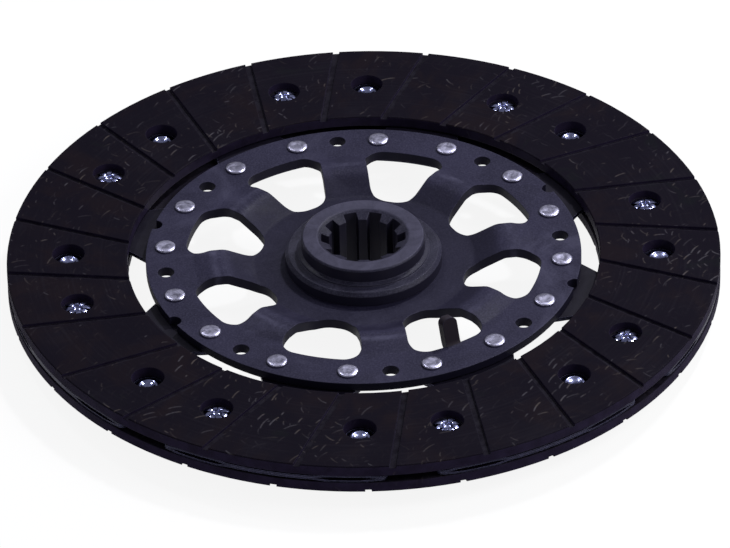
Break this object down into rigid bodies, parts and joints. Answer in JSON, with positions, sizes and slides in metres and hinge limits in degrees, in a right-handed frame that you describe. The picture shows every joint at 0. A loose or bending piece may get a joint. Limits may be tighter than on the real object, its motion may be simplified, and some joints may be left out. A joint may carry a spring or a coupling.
{
  "type": "clutch disc",
  "caption": "Rigid clutch disc: splined hub on a dished driver plate with open windows, riveted cushion segments and two grooved friction facings.",
  "frame": {"origin": "centre of the disc, on the hub's axis and midway between the two friction faces", "axes": "+Z along the hub's axis towards the gearbox; +X and +Y in the plane of the disc"},
  "size_m": [0.24, 0.24, 0.0253],
  "materials": {
    "friction_lining": "matte woven and pressed friction lining with short pale fibres",
    "plate_steel": "dark phosphated pressed steel",
    "hub_steel": "dark phosphated machined steel",
    "spring_steel": "blue-grey tempered spring steel",
    "segment_rivet_steel": "bright flattened rivet heads",
    "facing_rivet_steel": "bright plated tubular rivets"
  },
  "bodies": {
    "root": {"hub": "hub_steel", "driver_plate": "plate_steel", "gearbox_side_facing": "friction_lining", "flywheel_side_facing": "friction_lining", "gearbox_side_segment_1": "spring_steel", "gearbox_side_segment_2": "spring_steel", "gearbox_side_segment_3": "spring_steel", "gearbox_side_segment_4": "spring_steel", "gearbox_side_segment_5": "spring_steel", "gearbox_side_segment_6": "spring_steel", "gearbox_side_segment_7": "spring_steel", "gearbox_side_segment_8": "spring_steel", "flywheel_side_segment_1": "spring_steel", "flywheel_side_segment_2": "spring_steel", "flywheel_side_segment_3": "spring_steel", "flywheel_side_segment_4": "spring_steel", "flywheel_side_segment_5": "spring_steel", "flywheel_side_segment_6": "spring_steel", "flywheel_side_segment_7": "spring_steel", "flywheel_side_segment_8": "spring_steel", "segment_rivets": "segment_rivet_steel", "gearbox_facing_rivets": "facing_rivet_steel", "flywheel_facing_rivets": "facing_rivet_steel"}
  },
  "joints": []
}
